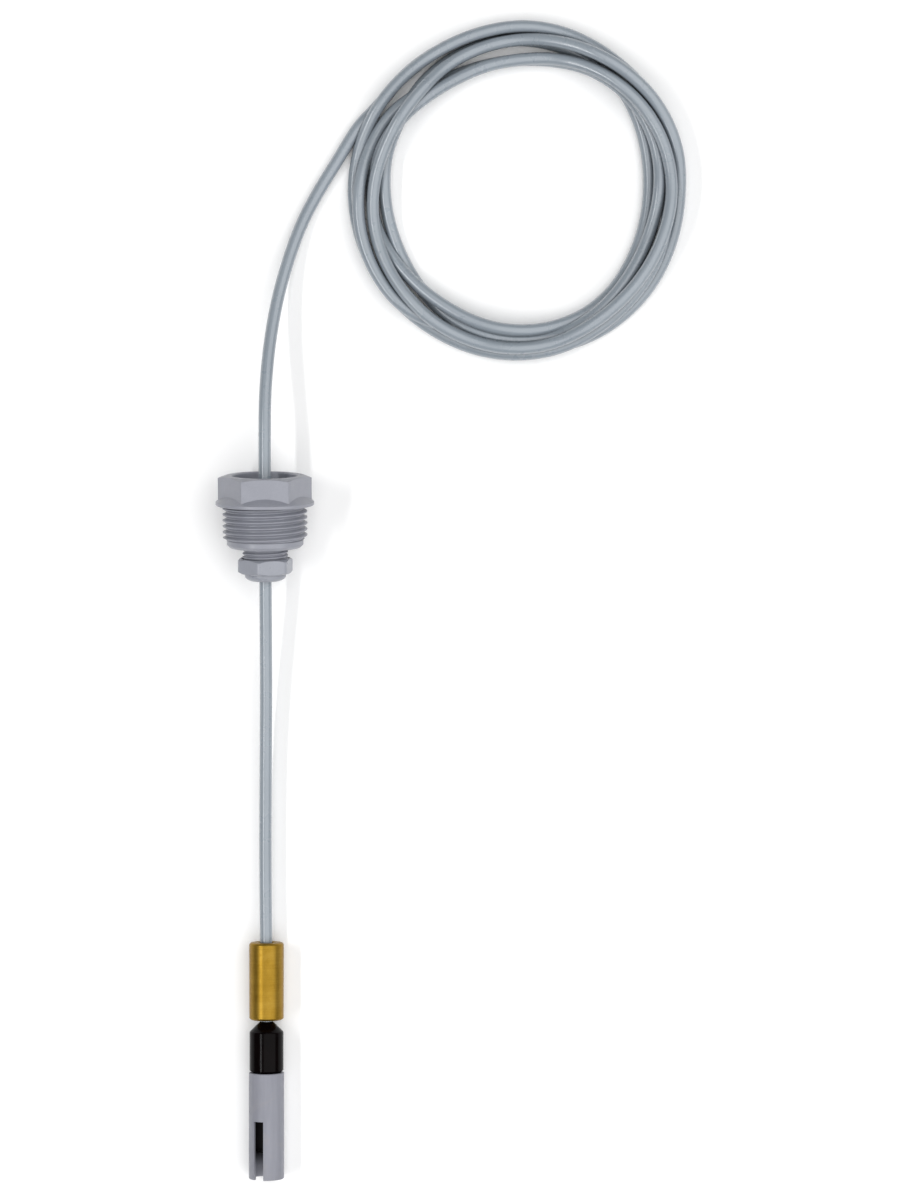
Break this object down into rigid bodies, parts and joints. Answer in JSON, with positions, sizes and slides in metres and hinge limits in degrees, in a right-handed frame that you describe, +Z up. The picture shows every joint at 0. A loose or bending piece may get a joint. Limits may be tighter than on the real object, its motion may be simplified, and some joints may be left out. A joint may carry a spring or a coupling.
{
  "type": "cable-hung level probe",
  "caption": "Slim probe head with a slotted sleeve on a thin grey lead, with a loose brass sinking weight and a screw-in plastic bush with a cable gland.",
  "frame": {"origin": "centre of the footprint of the probe line without the loose lead, on the ground", "axes": "+Z up, +Y along the probe line from the probe tip towards the screw-in bush, +X to the side of the coil"},
  "size_m": [0.1854, 0.4583, 0.0387],
  "materials": {
    "grey_plastic": "moulded, satin",
    "cable_grey": "soft sheath, satin",
    "black_boot": "moulded, satin",
    "black_insert": "matte",
    "sleeve_grey": "satin",
    "weight_brass": "turned, satin",
    "seal_rubber": "matte",
    "white_plastic": "satin",
    "core_brown": "satin",
    "core_white": "satin",
    "tinned": "tinned",
    "resin": "cast",
    "bead_black": "dipped epoxy"
  },
  "bodies": {
    "root": {"cable_run": "cable_grey", "cable_coil": "cable_grey", "lead_core_brown": "core_brown", "lead_core_white": "core_white", "end_ferrules": "tinned", "cable_boot": "black_boot", "anchor_crimp": "tinned", "protective_sleeve": "sleeve_grey", "sensor_holder": "black_insert", "o_ring": "seal_rubber", "head_core_brown": "core_brown", "head_core_white": "core_white", "splices": "tinned", "thermistor_legs": "tinned", "thermistor_bead": "bead_black", "potting_fill": "resin"},
    "grommet": {"cable_seal": "seal_rubber"},
    "bush": {"threaded_bush": "grey_plastic"},
    "slip_ring": {"slip_ring": "white_plastic"},
    "nut": {"gland_nut": "grey_plastic"},
    "weight": {"sink_weight": "weight_brass"}
  },
  "joints": [
    {"name": "bush_height", "type": "slide", "parent": "root", "child": "grommet", "axis": [0, -0.9903, -0.1392], "range_m": [-0.006, 0.02]},
    {"name": "bush_turn", "type": "hinge", "parent": "grommet", "child": "bush", "pos_m": [0, 0.1174, 0.01777], "axis": [0, -0.9903, -0.1392], "continuous": true},
    {"name": "nut_advance", "type": "slide", "parent": "bush", "child": "slip_ring", "axis": [0, -0.9903, -0.1392], "range_m": [0, 0.0025]},
    {"name": "nut_turn", "type": "hinge", "parent": "slip_ring", "child": "nut", "pos_m": [0, 0.10353, 0.01582], "axis": [0, -0.9903, -0.1392], "range_deg": [0, 600]},
    {"name": "weight_slide", "type": "slide", "parent": "root", "child": "weight", "axis": [0, 1, 0], "range_m": [-0.0006, 0.028]}
  ],
  "couplings": [
    {"joint": "nut_turn", "follows": "nut_advance", "rad_per_m": 4188.8}
  ]
}
